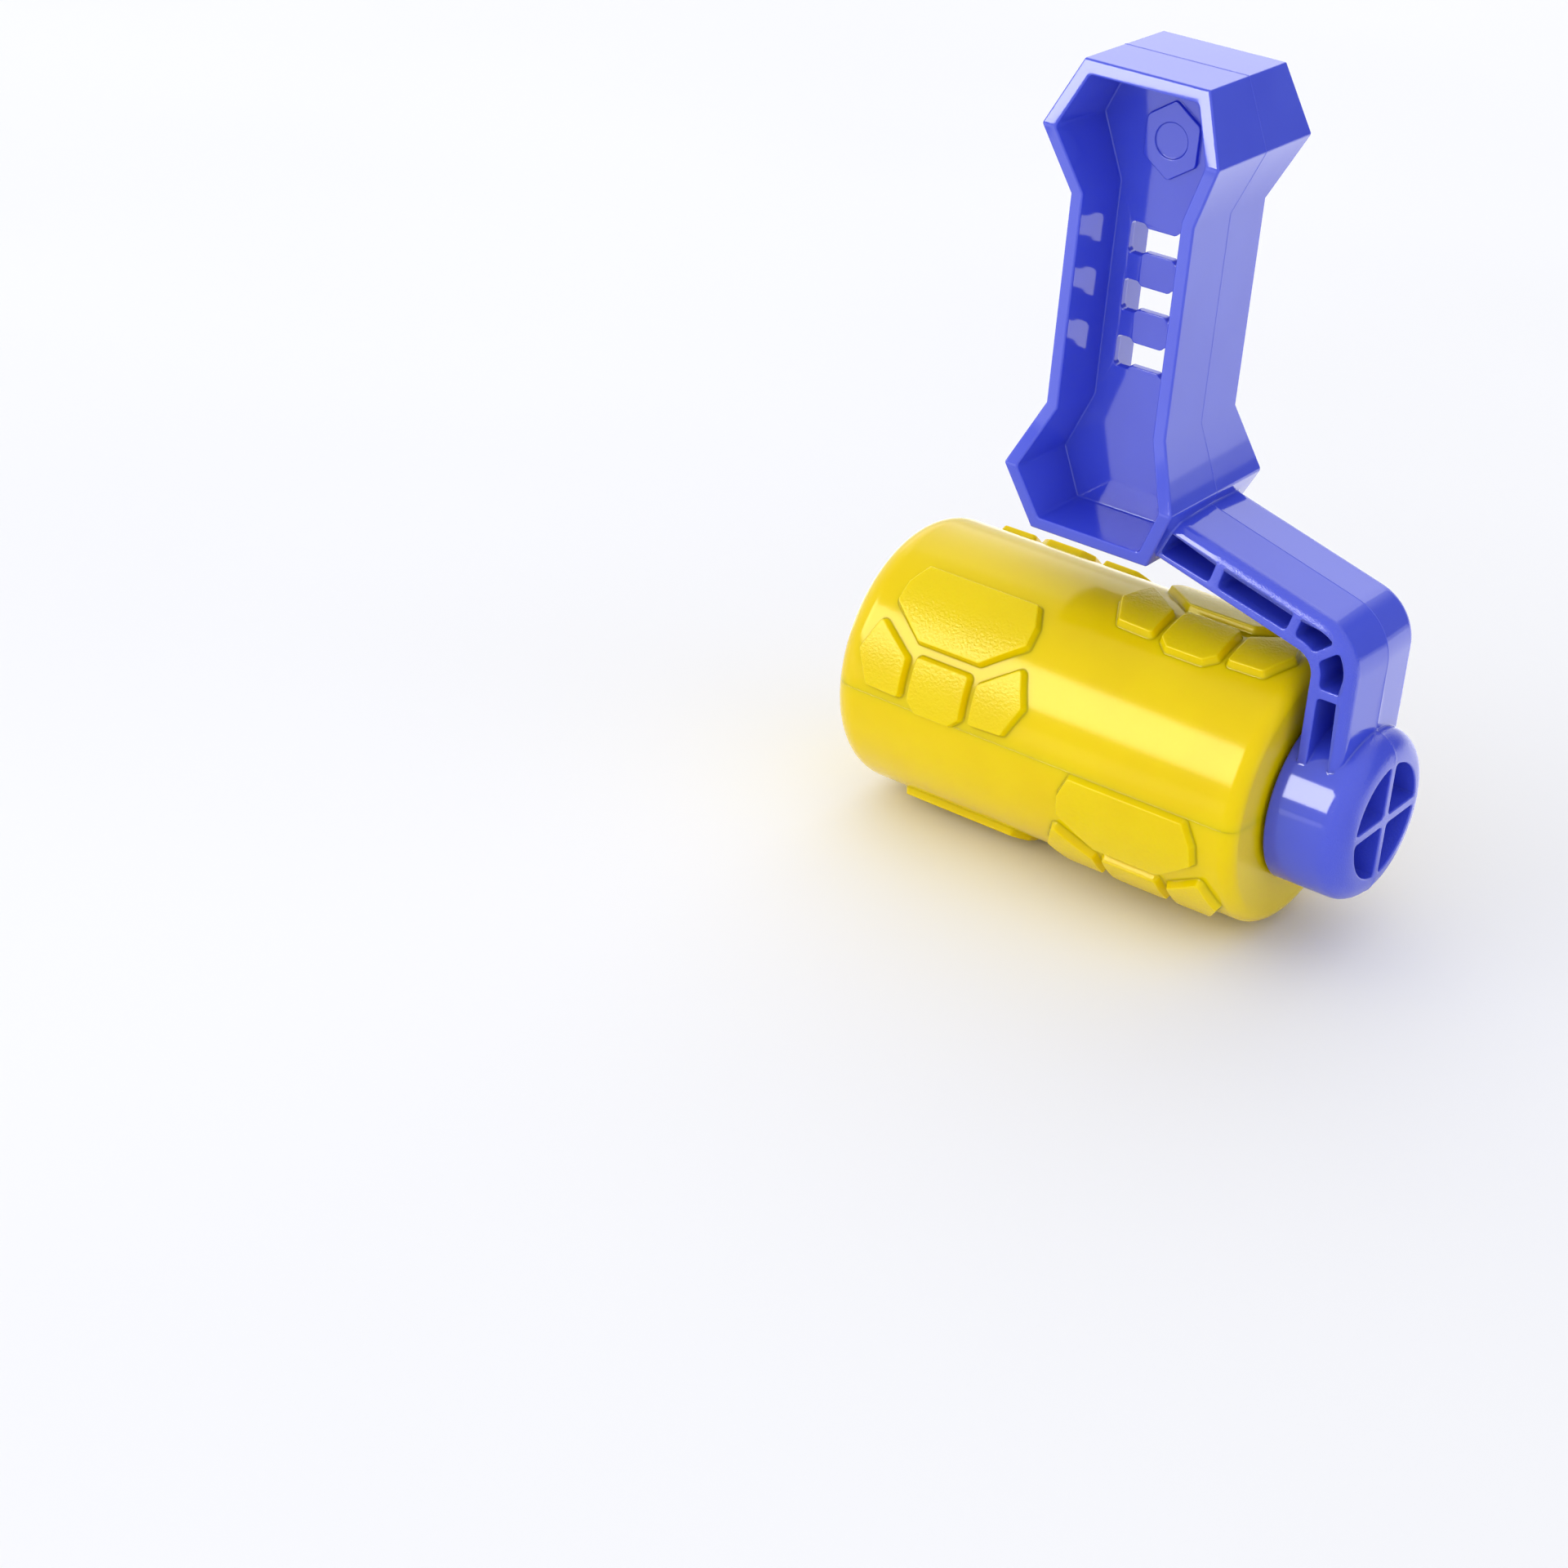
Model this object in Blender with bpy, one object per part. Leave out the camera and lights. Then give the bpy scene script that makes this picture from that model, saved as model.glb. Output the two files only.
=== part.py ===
"""Hand-held toy roller for play sand: one-piece handle, fixed spindle and a hollow drum in two halves.

Metres, +Z up. The drum turns about an axis along X, the grip stands above it, and the handle's mid
plane is y = 0. The origin is under the middle of the whole toy, on the surface that the drum rolls on.
"""

from math import cos, pi, radians, sin, tan

import bmesh
import bpy
from mathutils import Matrix, Vector

MM = 0.001
GAP = 0.3 * MM  # between pieces that touch

# Drum: a hollow roller with six prints of four tread blocks
DRUM_RADIUS = 24.5 * MM
DRUM_FREE_END = -48.65 * MM
DRUM_ARM_END = 33.35 * MM
FREE_END_ROUND = 5.5 * MM
ARM_END_ROUND = 2.7 * MM
DRUM_WALL = 2.0 * MM
DRUM_TURN = radians(2.0)  # how far the parting plane is turned from level at rest
TREAD_HEIGHT = 1.4 * MM
TREAD_SLOPE = 0.6 * MM  # how far a block's sides lean in over its height
TREAD_ROOT = 1.0 * MM  # how deep a block starts inside the wall
PRINT_PLACES = ((-26.1 * MM, 30.0), (13.2 * MM, 90.0))  # x of each ring of prints, first print's angle
TREAD_SLIVER = 0.4 * MM  # a block isn't split closer than this to its edge
DRUM_STEP = radians(7.5)

# Spindle and the bulkheads of the drum that run on it
SPINDLE_RADIUS = 5.0 * MM
SPINDLE_START = -43.0 * MM
SPINDLE_END = 40.5 * MM
COLLAR_RADIUS = 8.0 * MM
COLLAR_WIDTH = 2.4 * MM
BULKHEAD = 2.0 * MM
SADDLE_X = -40.0 * MM
SPINDLE_CHAMFER = 0.6 * MM
SPINDLE_STEPS = 32

# Hub: the round boss at the arm's lower end
HUB_RADIUS = 15.3 * MM
HUB_INNER = 34.05 * MM
HUB_OUTER = 48.65 * MM
HUB_ROUND = 4.6 * MM
HUB_CHAMFER = 0.4 * MM  # on its face towards the drum
RECESS_RADIUS = 10.3 * MM
RECESS_DEPTH = 6.6 * MM
RECESS_RIB = 1.7 * MM

# Grip: a bone-shaped frame round a web, open at the front and the back
AXIS_Z = DRUM_RADIUS + TREAD_HEIGHT
GRIP_X = -7.25 * MM
GRIP_Z = AXIS_Z + 76.1 * MM
# half width and height at the parting line, and half depth, from the top down to the neck
GRIP_CORNERS = (
    (11.45 * MM, 40.4 * MM, 12.2 * MM),
    (16.35 * MM, 29.2 * MM, 15.0 * MM),
    (11.55 * MM, 18.0 * MM, 11.6 * MM),
)
DRAFT = 0.45 * MM  # how much narrower the moulding is at its rims than at its parting line
RIM = 2.35 * MM
TRAY_DRAFT = 0.2 * MM
WEB = 1.6 * MM
SLOT_SPACING = 9.85 * MM
SLOT_HALF = 5.85 * MM
SLOT_TAB = 2.7 * MM
SLOT_WAIST = 2.0 * MM
SLOT_WAIST_HALF = 2.4 * MM  # half the waist's length
SLOT_CORNER = 0.7 * MM
BADGE_Z = 27.4 * MM
BADGE_HALF_HEIGHT = 6.6 * MM
BADGE_HALF_WIDTH = 4.9 * MM
BADGE_RAISED = 0.7 * MM

# Arm: a ribbed channel that slopes away from the grip, bends and drops to the hub
ARM_ANGLE = radians(15.0)
ARM_TOP = -27.2 * MM  # height under the grip's middle where the sloping top would cross its centre line
ARM_UNDER = -35.3 * MM
ARM_OUT_X = 44.25 * MM
ARM_IN_X = 35.85 * MM
ARM_OUTER_BEND = 9.8 * MM
ARM_INNER_BEND = 4.0 * MM
ARM_DEPTH = 11.0 * MM
ARM_EDGE = 2.4 * MM  # rounding of the arm's outer edges
ARM_TOP_WALL = 2.45 * MM
ARM_UNDER_WALL = 2.0 * MM
ARM_UNDER_TAPER = 0.8 * MM  # how much thinner that wall gets towards the grip
ARM_RIB = 1.75 * MM
ARM_RIBS_ALONG = (24.9 * MM, 40.4 * MM)  # distances from the grip's centre line down the slope
BEND_RIB = Vector((45.5, -44.8)) * MM  # from the grip's middle
BEND_RIB_ANGLE = radians(51.6)
DROP_RIB = -52.2 * MM
ARM_ROOT = 1.3 * MM  # how far the arm starts inside the grip's wall
ARM_FOOT = 3.0 * MM  # how far above the axis the arm ends, inside the hub
BEND_STEPS = 8

SHARP_ANGLE = radians(30.0)
BLUE = (0.085, 0.095, 0.62, 1.0)
YELLOW = (0.80, 0.62, 0.0, 1.0)
GREY = (0.55, 0.56, 0.58, 1.0)

ALONG = Vector((cos(ARM_ANGLE), -sin(ARM_ANGLE)))  # down the arm's slope, in the (x, z) plane
ACROSS = Vector((sin(ARM_ANGLE), cos(ARM_ANGLE)))
GRIP = Vector((GRIP_X, GRIP_Z))


# ---------------------------------------------------------------- scene and materials

def clear_scene():
    for old in list(bpy.data.objects):
        bpy.data.objects.remove(old, do_unlink=True)


def new_collection(name):
    made = bpy.data.collections.new(name)
    bpy.context.scene.collection.children.link(made)
    return made


def plastic(name, colour, roughness):
    made = bpy.data.materials.new(name)
    made.use_nodes = True
    shader = made.node_tree.nodes["Principled BSDF"]
    shader.inputs["Base Color"].default_value = colour
    shader.inputs["Roughness"].default_value = roughness
    shader.inputs["Metallic"].default_value = 0.0
    return made


def add_object(name, bm, collection, material=None):
    """An object from a bmesh. Without a material it is a cutter or a shape that is joined to another."""
    bmesh.ops.recalc_face_normals(bm, faces=bm.faces)
    mesh = bpy.data.meshes.new(name)
    bm.to_mesh(mesh)
    bm.free()
    made = bpy.data.objects.new(name, mesh)
    collection.objects.link(made)
    if material:
        mesh.materials.append(material)
    else:
        made.hide_render = True
        made.display_type = "WIRE"
    return made


def boolean(target, operation, operand):
    modifier = target.modifiers.new(f"{operation.lower()} {operand.name}", "BOOLEAN")
    modifier.operation = operation
    modifier.solver = "EXACT"
    modifier.object = operand


# ---------------------------------------------------------------- shapes

def loft(rings):
    """A closed solid through rings of equally many points, with a flat cap on the first and the last."""
    bm = bmesh.new()
    made = [[bm.verts.new(point) for point in ring] for ring in rings]
    for near, far in zip(made, made[1:]):
        for i in range(len(near)):
            bm.faces.new((near[i - 1], near[i], far[i], far[i - 1]))
    bm.faces.new(made[0])
    bm.faces.new(made[-1])
    return bm


def slab(outline, y_low, y_high):
    """An outline in the (x, z) plane, made solid between two depths."""
    return loft([[(p[0], y, p[1]) for p in outline] for y in (y_low, y_high)])


def box(size, centre, turn=None):
    bm = bmesh.new()
    bmesh.ops.create_cube(bm, size=1.0)
    bmesh.ops.scale(bm, verts=bm.verts, vec=size)
    if turn:
        bmesh.ops.rotate(bm, verts=bm.verts, matrix=turn)
    bmesh.ops.translate(bm, verts=bm.verts, vec=centre)
    return bm


def turned(profile, steps):
    """A line of (x, radius) points, from the axis to the axis, swept all the way round it."""
    bm = bmesh.new()
    points = [bm.verts.new(on_drum(x, radius, 0.0)) for x, radius in profile]
    line = [bm.edges.new(pair) for pair in zip(points, points[1:])]
    bmesh.ops.spin(
        bm,
        geom=points + line,
        cent=(0.0, 0.0, AXIS_Z),
        axis=(1.0, 0.0, 0.0),
        angle=2 * pi,
        steps=steps,
        use_merge=True,
    )
    bmesh.ops.remove_doubles(bm, verts=bm.verts, dist=0.001 * MM)
    return bm


def on_drum(x, radius, angle):
    return Vector((x, -radius * cos(angle), AXIS_Z + radius * sin(angle)))


def cylinder(radius, x_low, x_high, segments=48):
    bm = bmesh.new()
    bmesh.ops.create_cone(
        bm, cap_ends=True, segments=segments, radius1=radius, radius2=radius, depth=x_high - x_low
    )
    bmesh.ops.rotate(bm, verts=bm.verts, matrix=Matrix.Rotation(pi / 2, 3, "Y"))
    bmesh.ops.translate(bm, verts=bm.verts, vec=((x_low + x_high) / 2, 0.0, AXIS_Z))
    return bm


def inset(outline, distance):
    """The outline with every side moved inwards; it runs clockwise seen from the front."""
    moved = []
    for i, here in enumerate(outline):
        before = (here - outline[i - 1]).normalized()
        after = (outline[(i + 1) % len(outline)] - here).normalized()
        side = Vector((before.y, -before.x)) + Vector((after.y, -after.x))
        moved.append(here + side * (distance / (1.0 + before.dot(after))))
    return moved


# ---------------------------------------------------------------- grip

def grip_outline(distance):
    """The grip's outline, clockwise from its upper right corner, moved inwards by a distance."""
    right = [(half, height) for half, height, _ in GRIP_CORNERS]
    right += [(half, -height) for half, height in reversed(right)]
    left = [(-half, height) for half, height in reversed(right)]
    return inset([GRIP + Vector(corner) for corner in right + left], distance)


def grip_depth(z):
    """Half the grip's depth at a height: deepest where it is widest."""
    height = abs(z - GRIP_Z)
    for (_, high, deep), (_, low, shallow) in zip(GRIP_CORNERS, GRIP_CORNERS[1:]):
        if height >= low:
            return deep + (shallow - deep) * (high - height) / (high - low)
    return GRIP_CORNERS[-1][2]


def grip_frame():
    rings = []
    for front in (-1, 1):
        rim = [
            [(p.x, front * grip_depth(p.y), p.y) for p in grip_outline(distance)]
            for distance in (DRAFT + RIM, DRAFT)
        ]
        floor = [(p.x, front * WEB / 2, p.y) for p in grip_outline(DRAFT + RIM + TRAY_DRAFT)]
        rings.append([floor, *rim])
    middle = [(p.x, 0.0, p.y) for p in grip_outline(0.0)]
    front_rings, back_rings = rings
    return loft([*front_rings, middle, *reversed(back_rings)])


def slot_outline(z):
    """A slot through the web: a waist between two wider ends."""
    upper = [
        (SLOT_WAIST_HALF, SLOT_WAIST),
        (SLOT_WAIST_HALF + SLOT_CORNER, SLOT_TAB),
        (SLOT_HALF - SLOT_CORNER, SLOT_TAB),
        (SLOT_HALF, SLOT_TAB - SLOT_CORNER),
    ]
    right = upper + [(x, -height) for x, height in reversed(upper)]
    left = [(-x, height) for x, height in reversed(right)]
    return [GRIP + Vector((x, z + height)) for x, height in right + left]


def badge_outline():
    """A plain raised hexagon with upright sides on the web's front."""
    half = BADGE_HALF_HEIGHT
    right = [(0.0, half), (BADGE_HALF_WIDTH, half / 2), (BADGE_HALF_WIDTH, -half / 2), (0.0, -half)]
    left = [(-x, height) for x, height in reversed(right[1:-1])]
    return [GRIP + Vector((x, BADGE_Z + height)) for x, height in right + left]


# ---------------------------------------------------------------- arm

def facet_line():
    """A point on the grip's lower right facet and the facet's outward normal, in the (x, z) plane."""
    upper = GRIP + Vector((GRIP_CORNERS[1][0], -GRIP_CORNERS[1][1]))
    lower = GRIP + Vector((GRIP_CORNERS[0][0], -GRIP_CORNERS[0][1]))
    side = (lower - upper).normalized()
    return upper, Vector((-side.y, side.x))


def bent_path(point, x_turn, bend, beyond, end_z):
    """From the grip's facet down the slope, round the bend and straight down to a height."""
    on_facet, out = facet_line()
    start = point + ALONG * (((on_facet - point).dot(out) + beyond) / ALONG.dot(out))
    corner = point + ALONG * ((x_turn - point.x) / ALONG.x)
    turn = pi / 2 - ARM_ANGLE
    centre = Vector((x_turn - bend, corner.y - bend * tan(turn / 2)))
    arc = [
        centre + bend * Vector((cos(turn * (1 - i / BEND_STEPS)), sin(turn * (1 - i / BEND_STEPS))))
        for i in range(BEND_STEPS + 1)
    ]
    return [start, *arc, Vector((x_turn, end_z))]


def arm_outline(outer_inset, inner_inset, beyond, end_z, taper=0.0):
    outer = bent_path(
        GRIP + Vector((0.0, ARM_TOP)) - ACROSS * outer_inset,
        ARM_OUT_X - outer_inset,
        ARM_OUTER_BEND - outer_inset,
        beyond,
        end_z,
    )
    inner = bent_path(
        GRIP + Vector((0.0, ARM_UNDER)) + ACROSS * inner_inset,
        ARM_IN_X + inner_inset,
        ARM_INNER_BEND + inner_inset,
        beyond,
        end_z,
    )
    inner[0] -= ACROSS * taper
    return outer + inner[::-1]


def arm_solid():
    """The arm before its pockets are cut: drafted sides and rounded outer edges."""
    sections = [(0.0, 0.0, 0.0)]
    for turn in (radians(degrees) for degrees in (0.0, 35.0, 65.0, 90.0)):
        depth = ARM_DEPTH - ARM_EDGE * (1 - sin(turn))
        sections.append((depth, DRAFT + ARM_EDGE * (1 - cos(turn)), DRAFT / 2))
    rings = [arm_ring(-depth, outer, inner) for depth, outer, inner in reversed(sections)]
    rings += [arm_ring(depth, outer, inner) for depth, outer, inner in sections[1:]]
    return loft(rings)


def arm_ring(y, outer_inset, inner_inset):
    outline = arm_outline(outer_inset, inner_inset, -ARM_ROOT, AXIS_Z + ARM_FOOT)
    return [(p.x, y, p.y) for p in outline]


def arm_ribs(collection):
    """The ribs between the pockets: two square to the slope, one across the bend and one level."""
    middle = GRIP + Vector((0.0, (ARM_TOP + ARM_UNDER) / 2))
    places = [(middle + ALONG * along, ARM_ANGLE) for along in ARM_RIBS_ALONG]
    places.append((GRIP + BEND_RIB, BEND_RIB_ANGLE))
    places.append((Vector(((ARM_IN_X + ARM_OUT_X) / 2, GRIP_Z + DROP_RIB)), pi / 2))
    size = (ARM_RIB, 3 * ARM_DEPTH, 2 * (ARM_OUT_X - ARM_IN_X))
    for number, (place, angle) in enumerate(places, 1):
        centre = (place.x, 0.0, place.y)
        rib = box(size, centre, Matrix.Rotation(angle, 3, "Y"))
        yield add_object(f"arm_rib_{number}", rib, collection)


def arm(collection):
    solid = add_object("arm", arm_solid(), collection)
    ribs = list(arm_ribs(collection))
    end_z = AXIS_Z + ARM_FOOT + GAP
    channel = arm_outline(ARM_TOP_WALL, ARM_UNDER_WALL, GAP, end_z, ARM_UNDER_TAPER)
    for name, front in (("front", -1), ("back", 1)):
        depths = sorted((front * WEB / 2, front * 1.3 * ARM_DEPTH))
        pockets = add_object(f"{name}_pockets", slab(channel, *depths), collection)
        for rib in ribs:
            boolean(pockets, "DIFFERENCE", rib)
        boolean(solid, "DIFFERENCE", pockets)
    return solid


# ---------------------------------------------------------------- hub

def hub():
    bm = cylinder(HUB_RADIUS, HUB_INNER, HUB_OUTER)
    for x, size, segments in ((HUB_OUTER, HUB_ROUND, 5), (HUB_INNER, HUB_CHAMFER, 1)):
        rim = [e for e in bm.edges if all(abs(v.co.x - x) < 0.01 * MM for v in e.verts)]
        bmesh.ops.bevel(
            bm, geom=rim, offset=size, segments=segments, profile=0.5, affect="EDGES", material=-1
        )
    return bm


def hub_recess(collection):
    """The outer recess as four quadrants, which leaves a cross of ribs standing."""
    start = HUB_OUTER - RECESS_DEPTH
    recess = add_object("hub_recess", cylinder(RECESS_RADIUS, start, HUB_OUTER + MM), collection)
    centre = (HUB_OUTER, 0.0, AXIS_Z)
    long = 3 * RECESS_RADIUS
    for name, size in (("upright", (long, RECESS_RIB, long)), ("level", (long, long, RECESS_RIB))):
        boolean(recess, "DIFFERENCE", add_object(f"{name}_hub_rib", box(size, centre), collection))
    return recess


# ---------------------------------------------------------------- drum

def drum_profile():
    """From the middle of the free end over the outside to the arm end's bore, then back inside."""
    bore = SPINDLE_RADIUS + GAP
    inside = DRUM_RADIUS - DRUM_WALL
    end_wall = DRUM_ARM_END - BULKHEAD
    groove = end_wall - COLLAR_WIDTH - 2 * GAP
    profile = [(DRUM_FREE_END, 0.0)]
    profile += rounded_end(DRUM_FREE_END, DRUM_RADIUS, FREE_END_ROUND, 1, 6)
    profile += reversed(rounded_end(DRUM_ARM_END, DRUM_RADIUS, ARM_END_ROUND, -1, 4))
    profile += [(DRUM_ARM_END, bore), (end_wall, bore), (end_wall, inside), (groove, inside)]
    profile += [(groove, bore), (groove - BULKHEAD, bore), (groove - BULKHEAD, inside)]
    profile += [(SADDLE_X + BULKHEAD, inside), (SADDLE_X + BULKHEAD, bore), (SADDLE_X, bore)]
    profile += [(SADDLE_X, inside)]
    inner_round = FREE_END_ROUND - DRUM_WALL
    profile += reversed(rounded_end(DRUM_FREE_END + DRUM_WALL, inside, inner_round, 1, 3))
    profile.append((DRUM_FREE_END + DRUM_WALL, 0.0))
    return profile


def rounded_end(x, radius, rounding, inward, steps):
    """The quarter circle between an end face and the drum's side, starting at the end face."""
    turns = [pi / 2 * i / steps for i in range(steps + 1)]
    return [
        (x + inward * rounding * (1 - cos(a)), radius - rounding * (1 - sin(a))) for a in turns
    ]


def pad_outline():
    return [
        Vector(corner) * MM
        for corner in (
            (-6.4, -1.1), (6.4, -1.1), (13.6, 4.5), (13.4, 8.4), (11.4, 12.6),
            (-11.4, 12.6), (-13.4, 8.4), (-13.6, 4.5),
        )
    ]


def middle_outline():
    return [
        Vector(corner) * MM
        for corner in ((-5.7, -11.0), (-3.6, -12.9), (3.6, -12.9), (5.7, -11.0), (5.7, -2.9), (-5.7, -2.9))
    ]


def side_outline(side):
    """The block beside the middle one; side is -1 or 1."""
    corners = ((7.0, -11.3), (14.2, -11.0), (17.2, -5.2), (14.6, 1.5), (7.0, -3.9))
    return [Vector((side * x * MM, s * MM)) for x, s in corners[::side]]


def tread_block(bm, outline, x, angle):
    """A block with sloped sides, made flat from its outline and then wrapped round the drum."""
    flat = bmesh.new()
    flat.faces.new([flat.verts.new((p.x, p.y, 0.0)) for p in outline])
    pitch = DRUM_STEP * DRUM_RADIUS
    low = min(p.y for p in outline)
    high = max(p.y for p in outline)
    lines = [i * pitch for i in range(-6, 7) if low + TREAD_SLIVER < i * pitch < high - TREAD_SLIVER]
    for height in lines:
        everything = flat.verts[:] + flat.edges[:] + flat.faces[:]
        bmesh.ops.bisect_plane(flat, geom=everything, plane_co=(0, height, 0), plane_no=(0, 1, 0))
    bmesh.ops.recalc_face_normals(flat, faces=flat.faces)
    if all(face.normal.z < 0 for face in flat.faces):
        bmesh.ops.reverse_faces(flat, faces=flat.faces)
    bmesh.ops.solidify(flat, geom=flat.faces[:], thickness=TREAD_ROOT)
    top = [f for f in flat.faces if f.normal.z > 0.5]
    bmesh.ops.inset_region(
        flat, faces=top, thickness=TREAD_SLOPE, depth=TREAD_HEIGHT, use_even_offset=True
    )
    for v in flat.verts:
        v.co = on_drum(x + v.co.x, DRUM_RADIUS + v.co.z, angle + v.co.y / DRUM_RADIUS)
    mesh = bpy.data.meshes.new("block")
    flat.to_mesh(mesh)
    flat.free()
    bm.from_mesh(mesh)
    bpy.data.meshes.remove(mesh)


def tread(upper):
    """Every print on one half of the drum, each a wide pad and three blocks."""
    bm = bmesh.new()
    for x, first in PRINT_PLACES:
        for number in range(3):
            angle = (first + 120.0 * number) % 360.0
            if (angle < 180.0) != upper:
                continue
            for outline in (pad_outline(), middle_outline(), side_outline(-1), side_outline(1)):
                tread_block(bm, outline, x, radians(angle) + DRUM_TURN)
    return bm


def drum_half(name, upper, parts, shapes, material):
    bm = turned(drum_profile(), round(2 * pi / DRUM_STEP))
    half = add_object(name, bm, parts, material)
    side = -1 if upper else 1
    thickness = 2 * DRUM_RADIUS
    reach = 6 * DRUM_RADIUS  # past the drum all round
    away = box((reach, reach, thickness), (0.0, 0.0, side * (thickness - GAP) / 2))
    bmesh.ops.rotate(away, verts=away.verts, matrix=Matrix.Rotation(-DRUM_TURN, 3, "X"))
    bmesh.ops.translate(away, verts=away.verts, vec=(0.0, 0.0, AXIS_Z))
    boolean(half, "DIFFERENCE", add_object(f"{name}_parting", away, shapes))
    boolean(half, "UNION", add_object(f"{name}_tread", tread(upper), shapes))
    return half


# ---------------------------------------------------------------- spindle

def spindle_profile():
    end_wall = DRUM_ARM_END - BULKHEAD
    collar_end = end_wall - GAP
    collar_start = collar_end - COLLAR_WIDTH
    chamfer = SPINDLE_CHAMFER
    return [
        (SPINDLE_START, 0.0),
        (SPINDLE_START, SPINDLE_RADIUS - chamfer),
        (SPINDLE_START + chamfer, SPINDLE_RADIUS),
        (collar_start, SPINDLE_RADIUS),
        (collar_start, COLLAR_RADIUS),
        (collar_end, COLLAR_RADIUS),
        (collar_end, SPINDLE_RADIUS),
        (SPINDLE_END - chamfer, SPINDLE_RADIUS),
        (SPINDLE_END, SPINDLE_RADIUS - chamfer),
        (SPINDLE_END, 0.0),
    ]


# ---------------------------------------------------------------- assembly

def handle(parts, shapes, material):
    made = add_object("handle_moulding", grip_frame(), parts, material)
    boolean(made, "UNION", arm(shapes))
    boolean(made, "UNION", add_object("hub", hub(), shapes))
    badge = slab(badge_outline(), -WEB / 2 - BADGE_RAISED, 0.0)
    boolean(made, "UNION", add_object("badge", badge, shapes))
    for number in (-1, 0, 1):
        slot = slab(slot_outline(number * SLOT_SPACING), -2 * WEB, 2 * WEB)
        boolean(made, "DIFFERENCE", add_object(f"slot_{number + 2}", slot, shapes))
    boolean(made, "DIFFERENCE", hub_recess(shapes))
    socket = cylinder(SPINDLE_RADIUS + GAP, HUB_INNER - MM, SPINDLE_END + GAP)
    boolean(made, "DIFFERENCE", add_object("spindle_socket", socket, shapes))
    return made


def main():
    clear_scene()
    parts = new_collection("play_sand_roller")
    shapes = new_collection("play_sand_roller_shapes")
    handle(parts, shapes, plastic("blue_polypropylene", BLUE, 0.3))
    yellow = plastic("yellow_polypropylene", YELLOW, 0.25)
    spin = bpy.data.objects.new("drum_axis", None)
    spin.location = (0.0, 0.0, AXIS_Z)
    parts.objects.link(spin)
    bpy.context.view_layer.update()
    for name, upper in (("drum_upper_half", True), ("drum_lower_half", False)):
        half = drum_half(name, upper, parts, shapes, yellow)
        half.parent = spin
        half.matrix_parent_inverse = spin.matrix_world.inverted()
    bm = turned(spindle_profile(), SPINDLE_STEPS)
    add_object("spindle", bm, parts, plastic("grey_acetal", GREY, 0.4))
    for made in parts.objects:
        if made.type == "MESH":
            made.data.shade_smooth()
            made.data.set_sharp_from_angle(angle=SHARP_ANGLE)


main()
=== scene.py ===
"""Looks for the hand-held play-sand roller: a finely moulded blue handle and a yellow drum with treads.

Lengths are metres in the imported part's frame: X along the drum's axis towards the hub, Z up the grip, and
y = 0 is the handle's parting plane. The handle and both drum halves are rebuilt finer, and the spindle is
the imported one.
"""

from math import copysign, cos, pi, radians, sin, tan

import bmesh
import bpy
from mathutils import Matrix, Vector


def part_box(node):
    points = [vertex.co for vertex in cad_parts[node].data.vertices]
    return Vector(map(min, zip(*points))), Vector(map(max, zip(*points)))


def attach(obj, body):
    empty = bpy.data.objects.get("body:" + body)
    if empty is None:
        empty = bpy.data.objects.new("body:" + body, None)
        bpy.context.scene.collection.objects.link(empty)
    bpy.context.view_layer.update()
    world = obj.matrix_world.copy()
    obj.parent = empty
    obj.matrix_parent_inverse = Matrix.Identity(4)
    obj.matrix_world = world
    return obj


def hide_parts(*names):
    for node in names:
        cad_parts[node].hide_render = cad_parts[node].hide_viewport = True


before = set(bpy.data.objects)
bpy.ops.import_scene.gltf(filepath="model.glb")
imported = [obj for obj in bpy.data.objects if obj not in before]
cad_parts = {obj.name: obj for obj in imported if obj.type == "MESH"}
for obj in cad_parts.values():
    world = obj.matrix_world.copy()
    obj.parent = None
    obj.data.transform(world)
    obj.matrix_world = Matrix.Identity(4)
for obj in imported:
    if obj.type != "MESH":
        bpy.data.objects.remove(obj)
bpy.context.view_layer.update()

MM = 0.001
HAIR = 0.0001 * MM
TOUCH = 0.01 * MM
HANDLE_LOW, HANDLE_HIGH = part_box("handle_moulding")
SPINDLE_LOW, SPINDLE_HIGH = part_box("spindle")
DRUM_LOW, DRUM_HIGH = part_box("drum_upper_half")
AXIS_Z = (SPINDLE_LOW.z + SPINDLE_HIGH.z) / 2

# Drum: a hollow barrel; DRUM_TURN is how far its parting plane is turned from level
DRUM_RADIUS = 24.5 * MM
DRUM_WALL = 2.0 * MM
FREE_END = DRUM_LOW.x
ARM_END = DRUM_HIGH.x
FREE_END_ROUND = 5.5 * MM
FREE_END_RING = 0.6 * DRUM_RADIUS
ARM_END_ROUND = 2.7 * MM
BORE = 5.3 * MM
DRUM_TURN = radians(2.0)
DRUM_STEPS = 144

# Parting lines, raised a hair's breadth on both colours
SEAM_HALF = 0.16 * MM
SEAM_RISE = 0.09 * MM

# Tread: rows of prints, as a place along X and the angle of the row's first print in degrees
PRINT_ROWS = ((-26.1 * MM, 30.0), (13.2 * MM, 90.0))
PRINTS_IN_ROW = 3
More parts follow.
